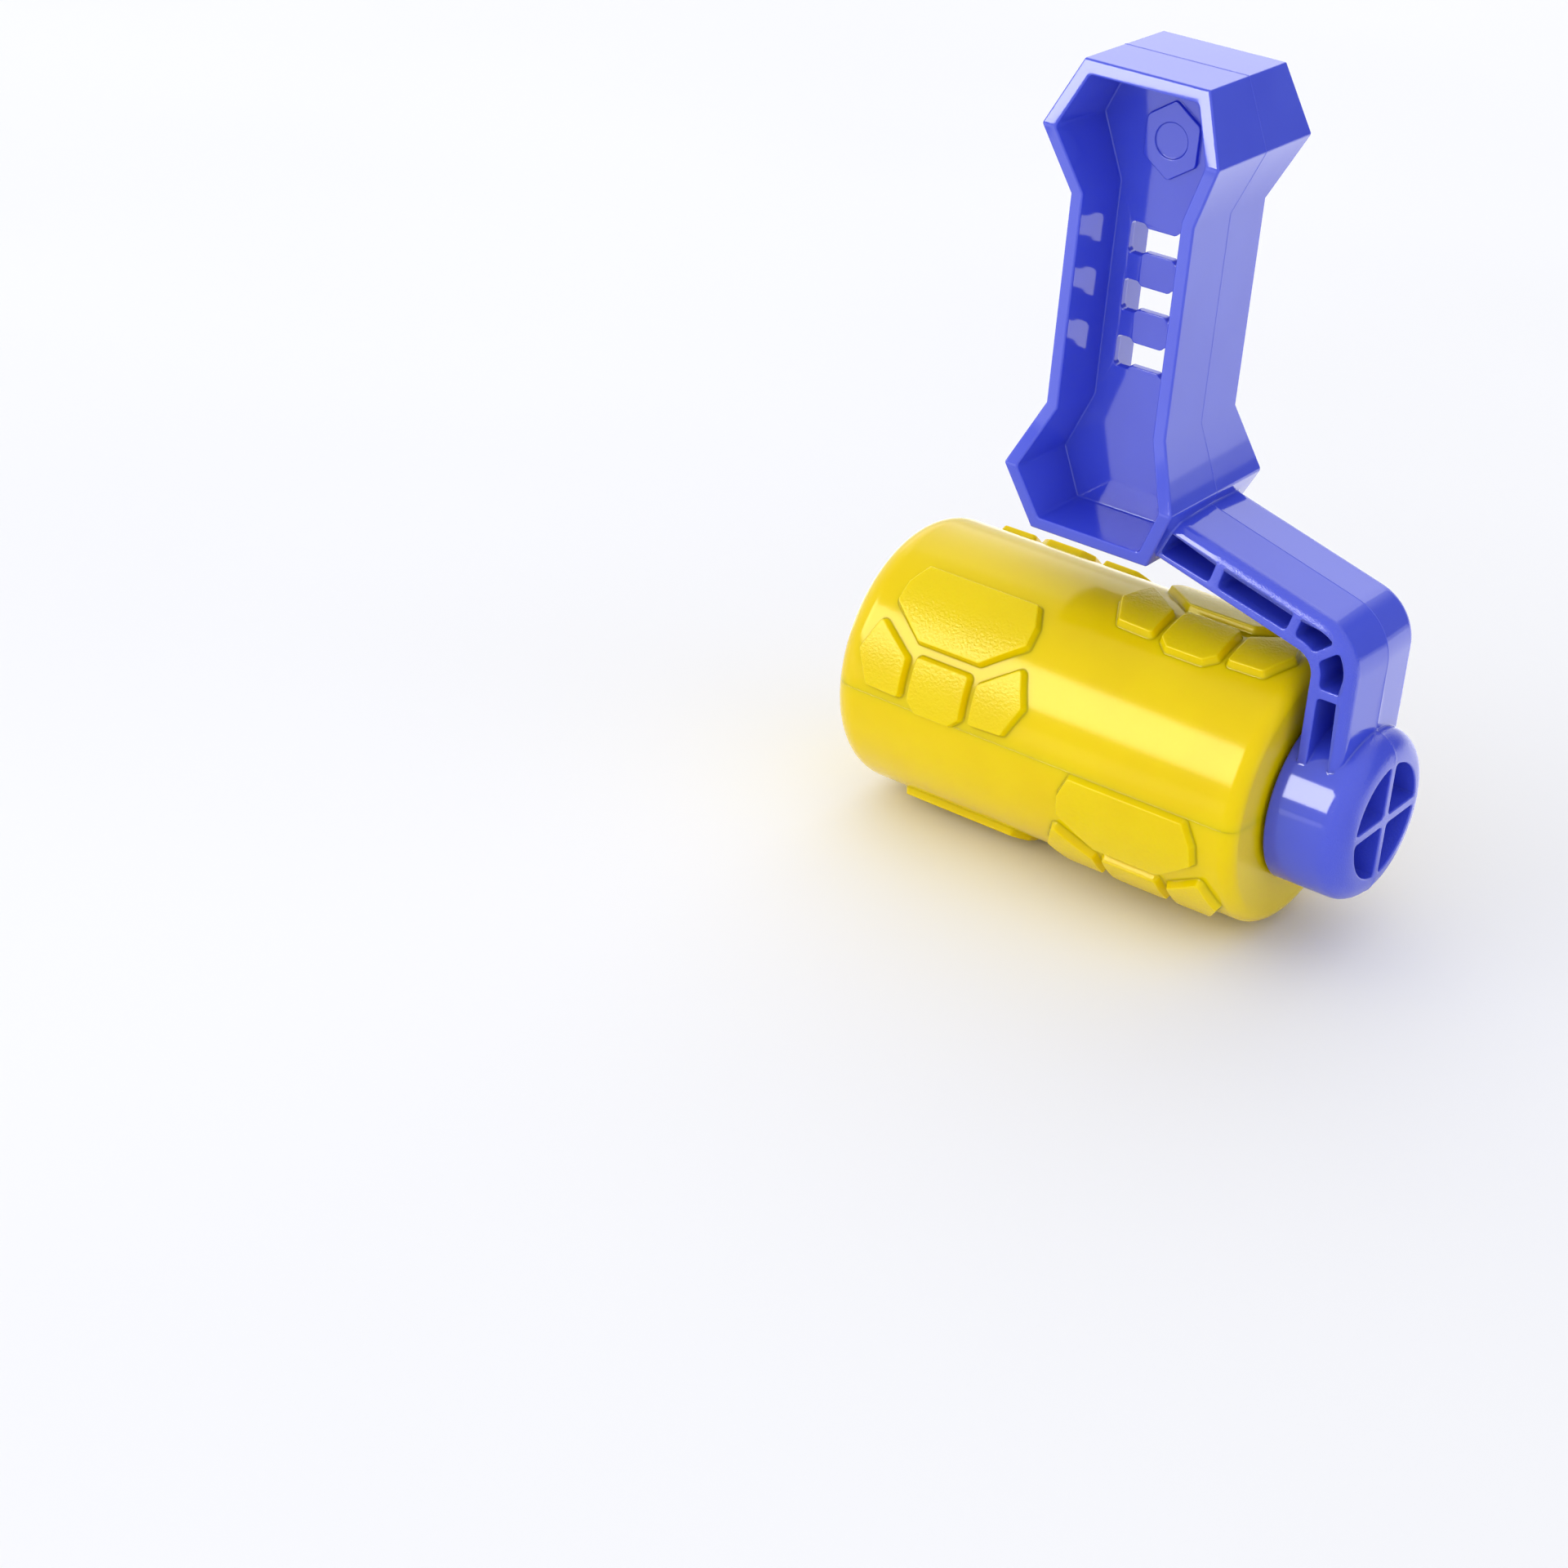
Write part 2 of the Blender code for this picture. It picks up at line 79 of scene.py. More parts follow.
# Outlines of one print's blocks in mm: along X and round the drum, anticlockwise
PAD = (
    (-6.4, -1.1), (6.4, -1.1), (13.6, 4.5), (13.4, 8.4),
    (11.4, 12.6), (-11.4, 12.6), (-13.4, 8.4), (-13.6, 4.5),
)
MIDDLE_BLOCK = ((-5.7, -11.0), (-3.6, -12.9), (3.6, -12.9), (5.7, -11.0), (5.7, -2.9), (-5.7, -2.9))
RIGHT_BLOCK = ((7.0, -11.3), (14.2, -11.0), (17.2, -5.2), (14.6, 1.5), (7.0, -3.9))
LEFT_BLOCK = tuple((-x, along) for x, along in reversed(RIGHT_BLOCK))
# A block's side in mm, as inset and height: a hollow foot, a steep flank and a rounded top edge
FLANK = (
    (0.0, -0.05), (0.12, 0.0), (0.22, 0.06), (0.30, 0.16), (0.36, 0.30),
    (0.62, 1.02), (0.67, 1.18), (0.75, 1.30), (0.86, 1.38), (1.02, 1.40),
)
FOOT_SPREAD = 0.36 * MM
BLOCK_CORNER = 1.3 * MM
BLOCK_ROOT = 0.4 * MM
# A block bends at cuts as far apart as the drum's own facets; the shift keeps them off its corners
BEND_CUTS = 16
BEND_CUT_SHIFT = 0.37

# Hub: a disc whose outer face has a deep round recess with a cross of ribs
HUB_RADIUS = 15.3 * MM
HUB_INNER = 34.05 * MM
HUB_OUTER = HANDLE_HIGH.x
HUB_ROUND = 4.6 * MM
HUB_ROUND_STEPS = 10
HUB_CHAMFER = 0.4 * MM
HUB_CHAMFER_STEPS = 2
RECESS_RADIUS = 10.3 * MM
RECESS_DEPTH = 6.6 * MM
RECESS_RIB = 1.7 * MM
RECESS_CORNER = 0.8 * MM
RECESS_CORNER_STEPS = 4

# Grip: corners as half width, height above the grip's middle and half depth
GRIP_CORNERS = (
    (11.45 * MM, 40.4 * MM, 12.2 * MM),
    (16.35 * MM, 29.2 * MM, 15.0 * MM),
    (11.55 * MM, 18.0 * MM, 11.6 * MM),
)
GRIP_X = HANDLE_LOW.x + GRIP_CORNERS[1][0]
GRIP_Z = HANDLE_HIGH.z - GRIP_CORNERS[0][1]
GRIP = Vector((GRIP_X, GRIP_Z))
DRAFT = 0.45 * MM
RIM = 2.35 * MM
TRAY_DRAFT = 0.5 * MM
WEB = 1.6 * MM

# Slots through the web: a waist between two higher ends, joined by small S-curves (along and up, in mm)
SLOT_PLACES = (-9.85 * MM, 0.0, 9.85 * MM)
SLOT_HALF = 5.85 * MM
SLOT_END_HEIGHT = 2.7 * MM
SLOT_WAIST_HALF = 2.4 * MM
SLOT_SHOULDER = ((0.0, 2.0), (0.36, 2.16), (0.72, 2.58), (1.04, 2.7))
SLOT_CORNER = 0.8 * MM

# Badge: a plain hexagon with a round dimple, raised from the web
BADGE_Z = 27.4 * MM
BADGE_HALF_HEIGHT = 6.6 * MM
BADGE_HALF_WIDTH = 4.9 * MM
BADGE_RAISED = 0.7 * MM
BADGE_CORNER = 0.5 * MM
BADGE_CORNER_STEPS = 3
DIMPLE_RADIUS = 3.0 * MM
DIMPLE_HEIGHT = 0.5 * MM

# Arm: heights are measured from the grip's middle, on the line down its centre
ARM_ANGLE = radians(15.0)
ARM_TOP = -27.2 * MM
ARM_UNDER = -35.3 * MM
ARM_OUT_X = 44.25 * MM
ARM_IN_X = 35.85 * MM
ARM_OUTER_BEND = 9.8 * MM
ARM_INNER_BEND = 4.0 * MM
ARM_DEPTH = 11.0 * MM
ARM_EDGE = 2.4 * MM
ARM_EDGE_STEPS = 8
ARM_ROOT = 1.3 * MM
ARM_FOOT = 3.0 * MM
BEND_STEPS = 20
ALONG = Vector((cos(ARM_ANGLE), -sin(ARM_ANGLE)))
ACROSS = Vector((sin(ARM_ANGLE), cos(ARM_ANGLE)))

# Arm's walls, ribs and pockets
ARM_TOP_WALL = 2.45 * MM
ARM_UNDER_WALL = 2.0 * MM
ARM_UNDER_TAPER = 0.8 * MM
ARM_RIB = 1.75 * MM
SLOPE_RIBS = (24.9 * MM, 40.4 * MM)
BEND_RIB = Vector((45.5, -44.8)) * MM
BEND_RIB_ANGLE = radians(51.6)
DROP_RIB = -52.2 * MM
POCKET_START = 0.25 * MM
POCKET_FOOT = ARM_FOOT + 0.3 * MM
POCKET_CORNER = 0.9 * MM
POCKET_CORNERS_FROM = 12.0 * MM
POCKET_CORNER_ANGLE = radians(40.0)
CORNER_STEPS = 5

# Roundings and fillets of the handle's edges
GRIP_EDGE = 0.38 * MM
GRIP_OUTER_CORNER = 0.2 * MM
ARM_AND_HUB_EDGE = 0.28 * MM
SLOT_AND_BADGE_EDGE = 0.18 * MM
WEB_FILLET = 0.3 * MM
TRAY_CORNER_FILLET = 0.5 * MM
ROUNDED_ANGLE = radians(26.0)
HANDLE_SMOOTH_ANGLE = radians(32.0)
DRUM_SMOOTH_ANGLE = radians(38.0)

# Where the grain is: each pair of limits is where it starts to show and where it is full
GRAINED_ARM_X = (15.0 * MM, 17.0 * MM)
GRAINED_ARM_Z = (AXIS_Z + 15.0 * MM, AXIS_Z + 17.0 * MM)
GRAINED_ARM_DEPTH = (8.2 * MM, 9.4 * MM)
GRAINED_HUB_X = (44.4 * MM, 45.6 * MM)
GRAINED_HUB_RADIUS = (16.4 * MM, 15.9 * MM)
GRAINED_TREAD_RADIUS = (DRUM_RADIUS + 1.0 * MM, DRUM_RADIUS + 1.3 * MM)

# Studio: lights by direction from the object, distance, width and height, and soft and gleam's radiance
AIM = Vector((0.0, 0.0, 60.0 * MM))
SOFT_LIGHTS = {
    "softbox_front_left": ((-0.50, -0.77, 0.41), 0.9, (0.75, 0.45), 0.7, 9.0),
    "panel_back_left": ((-0.45, 0.72, 0.62), 1.4, (1.6, 1.2), 0.4, 0.4),
}
GLEAM_GAP = 0.01
# Patches of bright floor: limits along X, limits along Y, and radiance
FLOOR_GLEAMS = {
    "floor_gleam_behind": ((-0.3, 0.6), (0.035, 0.65), 0.7),
    "floor_gleam_front_left": ((-0.5, -0.03), (-0.55, -0.12), 0.8),
}
FLOOR_GLEAM_HEIGHT = 0.3 * MM
FLOOR_HALF = 5.0
AIR_COLOUR = "#FAFBFF"
UNLIT_SIDE = Vector((0.60, 0.74, 0.30)).normalized()
LIT_STRENGTH = 1.06
UNLIT_STRENGTH = 0.25

CAMERA_PLACE = Vector((244.68, -462.64, 285.33)) * MM
CAMERA_AZIMUTH = radians(34.482)
CAMERA_ELEVATION = radians(27.996)
CAMERA_ROLL = radians(4.691)
CAMERA_LENS = 76.67


# ---------------------------------------------------------------- mesh tools

def piece(name, bm):
    """An object from a bmesh, with its normals set outwards."""
    bmesh.ops.recalc_face_normals(bm, faces=bm.faces)
    mesh = bpy.data.meshes.new(name)
    bm.to_mesh(mesh)
    bm.free()
    made = bpy.data.objects.new(name, mesh)
    bpy.context.scene.collection.objects.link(made)
    return made


def combined(target, steps=()):
    """The target's bmesh after its modifiers and (Boolean operation, object) steps, which uses them up."""
    for operation, operand in steps:
        modifier = target.modifiers.new(operand.name, "BOOLEAN")
        modifier.operation = operation
        modifier.solver = "EXACT"
        modifier.object = operand
    bpy.context.view_layer.update()
    mesh = bpy.data.meshes.new_from_object(target.evaluated_get(bpy.context.evaluated_depsgraph_get()))
    bm = bmesh.new()
    bm.from_mesh(mesh)
    bpy.data.meshes.remove(mesh)
    for used in (target, *(operand for _, operand in steps)):
        bpy.data.objects.remove(used, do_unlink=True)
    bmesh.ops.remove_doubles(bm, verts=bm.verts, dist=0.004 * MM)
    bmesh.ops.dissolve_limit(bm, angle_limit=radians(0.4), verts=bm.verts, edges=bm.edges)
    return bm


def whole(bm):
    return bm.verts[:] + bm.edges[:] + bm.faces[:]


def flat_face(bm, outline, y=0.0):
    """One face from an outline in the (x, z) plane."""
    return bm.faces.new([bm.verts.new((x, y, z)) for x, z in outline])


def extruded(bm, face):
    """The new end face after extruding a face on the spot; only an outermost first face stays."""
    inner = all(len(edge.link_faces) > 1 for edge in face.edges)
    grown = bmesh.ops.extrude_face_region(bm, geom=[face])["geom"]
    if inner:
        bmesh.ops.delete(bm, geom=[face], context="FACES_ONLY")
    return next(part for part in grown if isinstance(part, bmesh.types.BMFace))


def slabs(outlines, y_low, y_high):
    """Flat plates with the given outlines, between two depths."""
    bm = bmesh.new()
    for outline in outlines:
        end = extruded(bm, flat_face(bm, outline, y_low))
        bmesh.ops.translate(bm, verts=list(end.verts), vec=(0.0, y_high - y_low, 0.0))
    return bm


def box(size, centre, turn):
    """A box of a size, turned by a matrix and then moved to a centre."""
    bm = bmesh.new()
    bmesh.ops.create_cube(bm, size=1.0)
    bmesh.ops.scale(bm, verts=bm.verts, vec=size)
    bmesh.ops.rotate(bm, verts=bm.verts, matrix=turn)
    bmesh.ops.translate(bm, verts=bm.verts, vec=centre)
    return bm


def cylinder(radius, length, centre, turned_about, segments):
    """An upright cylinder, turned a quarter about "X" or "Y" and then moved to a centre."""
    bm = bmesh.new()
    bmesh.ops.create_cone(
        bm, cap_ends=True, segments=segments, radius1=radius, radius2=radius, depth=length
    )
    bmesh.ops.rotate(bm, verts=bm.verts, matrix=Matrix.Rotation(pi / 2, 3, turned_about))
    bmesh.ops.translate(bm, verts=bm.verts, vec=centre)
    return bm


def round_edges(bm, edges, size, steps):
    bmesh.ops.bevel(
        bm,
        geom=edges,
        offset=size,
        segments=steps,
        profile=0.5,
        affect="EDGES",
        material=-1,
        clamp_overlap=False,
    )


def sharp_edges(bm, direction, angle):
    """The edges that run along a direction and turn by more than an angle."""
    found = []
    for edge in bm.edges:
        run = (edge.verts[1].co - edge.verts[0].co).normalized()
        if abs(run.dot(direction)) > 0.99 and edge.calc_face_angle(0.0) > angle:
            found.append(edge)
    return found


def mirrored_front(bm):
    """Closes a shape built for y <= 0 by mirroring it in y = 0."""
    inside = [face for face in bm.faces if all(abs(v.co.y) < HAIR for v in face.verts)]
    bmesh.ops.delete(bm, geom=inside, context="FACES_ONLY")
    bmesh.ops.mirror(bm, geom=whole(bm), axis="Y", merge_dist=0.001 * MM)
    bmesh.ops.remove_doubles(bm, verts=bm.verts, dist=0.001 * MM)
    return bm


def finish_shading(made, angle):
    """Smooth shading that breaks at edges sharper than an angle and leaves flat faces flat."""
    made.data.shade_smooth()
    made.data.set_sharp_from_angle(angle=angle)
    weighted = made.modifiers.new("even_normals", "WEIGHTED_NORMAL")
    weighted.keep_sharp = True
    weighted.weight = 80


# ---------------------------------------------------------------- handle

def grip_outline():
    """The grip's outline at the parting plane, clockwise from its upper right corner."""
    right = [(half, height) for half, height, _ in GRIP_CORNERS]
    right += [(half, -height) for half, height in reversed(right)]
    left = [(-half, height) for half, height in reversed(right)]
    return [GRIP + Vector(corner) for corner in right + left]


def grip_depth(z):
    """Half the grip's depth at a height: deepest where it is widest."""
    height = abs(z - GRIP_Z)
    for (_, high, deep), (_, low, shallow) in zip(GRIP_CORNERS, GRIP_CORNERS[1:]):
        if height >= low:
            return deep + (shallow - deep) * (high - height) / (high - low)
    return GRIP_CORNERS[-1][2]


def grip():
    """Two open trays back to back: outer facets, a level rim, drafted walls and the web between them."""
    bm = bmesh.new()
    face = flat_face(bm, grip_outline())
    for distance in (DRAFT, RIM, TRAY_DRAFT):
        bmesh.ops.inset_region(
            bm, faces=[face], thickness=distance, use_even_offset=True, use_boundary=True
        )
    floor = set(face.verts)
    outside = {v for v in bm.verts if v.is_boundary}
    for v in bm.verts:
        if v in floor:
            v.co.y = -WEB / 2
        elif v not in outside:
            v.co.y = -grip_depth(v.co.z)
    return piece("grip", mirrored_front(bm))


def slot(z):
    """A cutter for one slot through the web."""
    upper = [(SLOT_WAIST_HALF + along * MM, up * MM) for along, up in SLOT_SHOULDER]
    for turn in (90.0, 60.0, 30.0, 0.0):
        x = SLOT_HALF - SLOT_CORNER * (1 - cos(radians(turn)))
        upper.append((x, SLOT_END_HEIGHT - SLOT_CORNER * (1 - sin(radians(turn)))))
    right = upper + [(x, -height) for x, height in reversed(upper)]
    left = [(-x, height) for x, height in reversed(right)]
    outline = [GRIP + Vector((x, z + height)) for x, height in right + left]
    return piece("slot", slabs([outline], -2 * WEB, 2 * WEB))


def badge():
    """A raised hexagon with softened corners and a shallow round dimple."""
    half = BADGE_HALF_HEIGHT
    right = [(0.0, half), (BADGE_HALF_WIDTH, half / 2), (BADGE_HALF_WIDTH, -half / 2), (0.0, -half)]
    left = [(-x, height) for x, height in reversed(right[1:-1])]
    outline = [GRIP + Vector((x, BADGE_Z + height)) for x, height in right + left]
    face_y = -WEB / 2 - BADGE_RAISED
    body = slabs([outline], face_y, -WEB / 4)
    corners = sharp_edges(body, Vector((0.0, 1.0, 0.0)), radians(20.0))
    round_edges(body, corners, BADGE_CORNER, BADGE_CORNER_STEPS)
    dimple = cylinder(DIMPLE_RADIUS, DIMPLE_HEIGHT, (GRIP_X, face_y, GRIP_Z + BADGE_Z), "X", 40)
    return piece("badge", combined(piece("badge_body", body), [("DIFFERENCE", piece("dimple", dimple))]))


def bent_path(point, x_turn, bend, beyond, end_z):
    """From the grip's lower right facet, or beyond it, down the slope, round the bend and straight down."""
    wide, narrow = (GRIP + Vector((half, -height)) for half, height, _ in GRIP_CORNERS[1::-1])
    facet = (narrow - wide).normalized()
    out = Vector((-facet.y, facet.x))
    start = point + ALONG * (((wide - point).dot(out) + beyond) / ALONG.dot(out))
    corner = point + ALONG * ((x_turn - point.x) / ALONG.x)
    turn = pi / 2 - ARM_ANGLE
    centre = Vector((x_turn - bend, corner.y - bend * tan(turn / 2)))
    angles = [turn * (1 - i / BEND_STEPS) for i in range(BEND_STEPS + 1)]
    arc = [centre + bend * Vector((cos(a), sin(a))) for a in angles]
    return [start, *arc, Vector((x_turn, end_z))]


def arm_outline(outer_inset, inner_inset, beyond, end_z, taper=0.0):
    """The arm's outline moved in from its outer and inner sides; a taper widens it at the grip."""
    outer = bent_path(
        GRIP + Vector((0.0, ARM_TOP)) - ACROSS * outer_inset,
        ARM_OUT_X - outer_inset,
        ARM_OUTER_BEND - outer_inset,
        beyond,
        end_z,
    )
    inner = bent_path(
        GRIP + Vector((0.0, ARM_UNDER)) + ACROSS * inner_inset,
        ARM_IN_X + inner_inset,
        ARM_INNER_BEND + inner_inset,
        beyond,
        end_z,
    )
    inner[0] -= ACROSS * taper
    return outer + inner[::-1]


def arm_body():
    """The arm before its pockets are cut: drafted sides and generously rounded outer edges."""
    end_z = AXIS_Z + ARM_FOOT
    bm = bmesh.new()
    face = flat_face(bm, arm_outline(0.0, 0.0, -ARM_ROOT, end_z))
    order = list(face.verts)
    for step in range(ARM_EDGE_STEPS + 1):
        turn = pi / 2 * step / ARM_EDGE_STEPS
        outer_inset = DRAFT + ARM_EDGE * (1 - cos(turn))
        depth = ARM_DEPTH - ARM_EDGE * (1 - sin(turn))
        section = arm_outline(outer_inset, DRAFT / 2, -ARM_ROOT, end_z)
        number = {tuple(v.co): i for i, v in enumerate(order)}
        face = extruded(bm, face)
        order = sorted(face.verts, key=lambda v: number[tuple(v.co)])
        for v, place in zip(order, section):
            v.co = (place.x, -depth, place.y)
    return piece("arm", mirrored_front(bm))


def arm_ribs():
    """The ribs between the pockets: two square to the slope, one across the bend and one level."""
    middle = GRIP + Vector((0.0, (ARM_TOP + ARM_UNDER) / 2))
    places = [(middle + ALONG * along, ARM_ANGLE) for along in SLOPE_RIBS]
    places.append((GRIP + BEND_RIB, BEND_RIB_ANGLE))
    places.append((Vector(((ARM_IN_X + ARM_OUT_X) / 2, GRIP_Z + DROP_RIB)), pi / 2))
    size = (ARM_RIB, 3 * ARM_DEPTH, 2 * (ARM_OUT_X - ARM_IN_X))
    for place, angle in places:
        yield piece("arm_rib", box(size, (place.x, 0.0, place.y), Matrix.Rotation(angle, 3, "Y")))


def softened(outline):
    """A pocket's outline with its sharp corners away from the grip as curves."""
    count = len(outline)
    sides = [outline[(i + 1) % count] - outline[i] for i in range(count)]
    starts = [sum(side.length for side in sides[:i]) for i in range(count)]
    length = starts[-1] + sides[-1].length

    def at(distance):
        distance %= length
        i = max(i for i in range(count) if starts[i] <= distance)
        return outline[i] + sides[i].normalized() * (distance - starts[i])

    def apart(i, j):
        one_way = abs(starts[i] - starts[j])
        return min(one_way, length - one_way)

    def is_corner(i):
        return outline[i].x > POCKET_CORNERS_FROM and sides[i - 1].angle(sides[i]) > POCKET_CORNER_ANGLE

    corners = [i for i in range(count) if is_corner(i)]
    straight = [i for i in range(count) if all(apart(i, j) > POCKET_CORNER for j in corners)]
    points = {starts[i]: outline[i] for i in straight}
    for i in corners:
        first, last = at(starts[i] - POCKET_CORNER), at(starts[i] + POCKET_CORNER)
        for step in range(CORNER_STEPS + 1):
            share = step / CORNER_STEPS
            place = (starts[i] + POCKET_CORNER * (2 * share - 1)) % length
            points[place] = first.lerp(outline[i], share).lerp(outline[i].lerp(last, share), share)
    return [points[place] for place in sorted(points)]


def arm_pockets(front):
    """The pockets of one side, -1 or 1, as one cutter."""
    channel = arm_outline(ARM_TOP_WALL, ARM_UNDER_WALL, POCKET_START, AXIS_Z + POCKET_FOOT, ARM_UNDER_TAPER)
    floor = front * WEB / 2
    depths = sorted((floor, front * 1.3 * ARM_DEPTH))
    bm = combined(piece("channel", slabs([channel], *depths)), [("DIFFERENCE", rib) for rib in arm_ribs()])
    floors = [face for face in bm.faces if all(abs(v.co.y - floor) < TOUCH for v in face.verts)]
    outlines = [softened([Vector((v.co.x, v.co.z)) for v in face.verts]) for face in floors]
    bm.free()
    return piece("pockets", slabs(outlines, *depths))


def hub():
    centre = ((HUB_INNER + HUB_OUTER) / 2, 0.0, AXIS_Z)
    bm = cylinder(HUB_RADIUS, HUB_OUTER - HUB_INNER, centre, "Y", 96)
    outer = (HUB_OUTER, HUB_ROUND, HUB_ROUND_STEPS)
    inner = (HUB_INNER, HUB_CHAMFER, HUB_CHAMFER_STEPS)
    for x, size, steps in (outer, inner):
        rim = [edge for edge in bm.edges if all(abs(v.co.x - x) < TOUCH for v in edge.verts)]
        round_edges(bm, rim, size, steps)
    return piece("hub", bm)


def hub_recess():
    """A cutter of four quadrants with rounded corners, which leaves a cross of ribs standing."""
    low, high = HUB_OUTER - RECESS_DEPTH, HUB_OUTER + MM
    disc = cylinder(RECESS_RADIUS, high - low, ((low + high) / 2, 0.0, AXIS_Z), "Y", 96)
    ribs = []
    for angle in (0.0, pi / 2):
        size = (3 * RECESS_RADIUS, RECESS_RIB, 3 * RECESS_RADIUS)
        rib = box(size, (HUB_OUTER, 0.0, AXIS_Z), Matrix.Rotation(angle, 3, "X"))
        ribs.append(("DIFFERENCE", piece("hub_rib", rib)))
    bm = combined(piece("recess_disc", disc), ribs)
    corners = sharp_edges(bm, Vector((1.0, 0.0, 0.0)), radians(40.0))
    round_edges(bm, corners, RECESS_CORNER, RECESS_CORNER_STEPS)
    return piece("recess", bm)


def edge_rounding(edge):
    """How large the rounding or fillet on a sharp edge of the joined handle is."""
    low, high = (v.co for v in edge.verts)
    middle = (low + high) / 2
    across = abs(middle.x - GRIP_X)
    up = abs(middle.z - GRIP_Z)
    depth = abs(middle.y)
    if across > GRIP_CORNERS[1][0] + MM or up > GRIP_CORNERS[0][1] + MM:
        return ARM_AND_HUB_EDGE
    if depth > grip_depth(middle.z) - 0.05 * MM:
        return GRIP_EDGE
    if across < SLOT_HALF + MM and up < BADGE_Z + BADGE_HALF_HEIGHT + MM:
        return SLOT_AND_BADGE_EDGE
    if depth < WEB:
        # the outer corners run across the whole depth, so their middles are at the web's depth too
        return GRIP_OUTER_CORNER if edge.is_convex else WEB_FILLET
    runs_in = abs((high - low).normalized().y) > 0.7
    return TRAY_CORNER_FILLET if runs_in and not edge.is_convex else GRIP_EDGE


def off_openings(co):
    """True off the slots and off the hub's recess, where the mould's parting line doesn't run."""
    in_slots = abs(co.x - GRIP_X) < SLOT_HALF + MM and abs(co.z - GRIP_Z) < GRIP_CORNERS[1][1]
    radius = Vector((co.y, co.z - AXIS_Z)).length
    return not in_slots and not (radius < RECESS_RADIUS + MM and co.x > HUB_INNER - MM)


def raise_seam(bm):
    """A fine raised line where the two halves of the mould met, on the plane y = 0."""
    for y in (-SEAM_HALF, 0.0, SEAM_HALF):
        bmesh.ops.bisect_plane(bm, geom=whole(bm), plane_co=(0, y, 0), plane_no=(0, 1, 0), dist=TOUCH)
    bm.normal_update()
    moves = [(v, v.normal.copy()) for v in bm.verts if abs(v.co.y) < 2 * TOUCH and off_openings(v.co)]
    for v, normal in moves:
        v.co += normal * SEAM_RISE


def handle():
    """Grip, arm and hub joined into one moulding, with its edges rounded and its parting line raised."""
    arm = piece("arm_cut", combined(arm_body(), [("DIFFERENCE", arm_pockets(front)) for front in (-1, 1)]))
    steps = [("UNION", arm), ("UNION", hub()), ("UNION", badge())]
    steps += [("DIFFERENCE", slot(z)) for z in SLOT_PLACES]
    steps.append(("DIFFERENCE", hub_recess()))
    bm = combined(grip(), steps)
    weights = bm.edges.layers.float.new("bevel_weight_edge")
    for edge in bm.edges:
        if edge.is_manifold and edge.calc_face_angle(0.0) > ROUNDED_ANGLE:
            edge[weights] = edge_rounding(edge) / MM
    sharp = piece("handle_sharp", bm)
    bevel = sharp.modifiers.new("rounding", "BEVEL")
    bevel.limit_method = "WEIGHT"
    bevel.offset_type = "OFFSET"
    bevel.width = MM
    bevel.segments = 3
    bevel.profile = 0.5
    bevel.use_clamp_overlap = False
    bevel.miter_outer = "MITER_ARC"
    bm = combined(sharp)
    bmesh.ops.triangulate(bm, faces=[face for face in bm.faces if len(face.verts) > 4])
    raise_seam(bm)
    made = piece("handle_body", bm)
    finish_shading(made, HANDLE_SMOOTH_ANGLE)
    return made


# ---------------------------------------------------------------- drum

def on_drum(x, radius, angle):
    return Vector((x, -radius * cos(angle), AXIS_Z + radius * sin(angle)))


def quarter(x, radius, size, inward, steps):
    """The quarter circle between an end face and the drum's side, starting at the end face."""
    turns = [pi / 2 * i / steps for i in range(steps + 1)]
    return [(x + inward * size * (1 - cos(turn)), radius - size * (1 - sin(turn))) for turn in turns]


def drum_profile():
    """From the middle of the free end over the outside and the arm end's bore, then back inside."""
    inside = DRUM_RADIUS - DRUM_WALL
    profile = [(FREE_END, 0.0), (FREE_END, FREE_END_RING)]
    profile += quarter(FREE_END, DRUM_RADIUS, FREE_END_ROUND, 1, 12)
    profile += reversed(quarter(ARM_END, DRUM_RADIUS, ARM_END_ROUND, -1, 8))
    profile += [(ARM_END, BORE), (ARM_END - DRUM_WALL, BORE), (ARM_END - DRUM_WALL, inside)]
    profile += reversed(quarter(FREE_END + DRUM_WALL, inside, FREE_END_ROUND - DRUM_WALL, 1, 4))
    profile.append((FREE_END + DRUM_WALL, 0.0))
    return profile


def half_shell():
    """Half of the hollow drum, over angles 0 to 180 degrees, closed along the parting plane."""
    bm = bmesh.new()
    points = [bm.verts.new(on_drum(x, radius, 0.0)) for x, radius in drum_profile()]
    line = [bm.edges.new(pair) for pair in zip(points, points[1:])]
    bmesh.ops.spin(
        bm,
        geom=points + line,
        cent=(0.0, 0.0, AXIS_Z),
        axis=(1.0, 0.0, 0.0),
        angle=-pi,
        steps=DRUM_STEPS // 2,
    )
    bmesh.ops.remove_doubles(bm, verts=bm.verts, dist=0.001 * MM)
    seam_edge = (0.0, 0.0, AXIS_Z + SEAM_HALF)
    bmesh.ops.bisect_plane(bm, geom=whole(bm), plane_co=seam_edge, plane_no=(0.0, 0.0, 1.0))
    for v in bm.verts:
        on_plane = abs(v.co.z - AXIS_Z) < HAIR
        in_side_wall = abs(v.co.y) > DRUM_RADIUS - FREE_END_ROUND - 0.1 * MM
        off_ends = FREE_END + FREE_END_ROUND / 2 <= v.co.x <= ARM_END - HAIR
        if on_plane and in_side_wall and off_ends:
            v.co.y += copysign(SEAM_RISE, v.co.y)
    bmesh.ops.edgeloop_fill(bm, edges=[edge for edge in bm.edges if edge.is_boundary])
    return bm


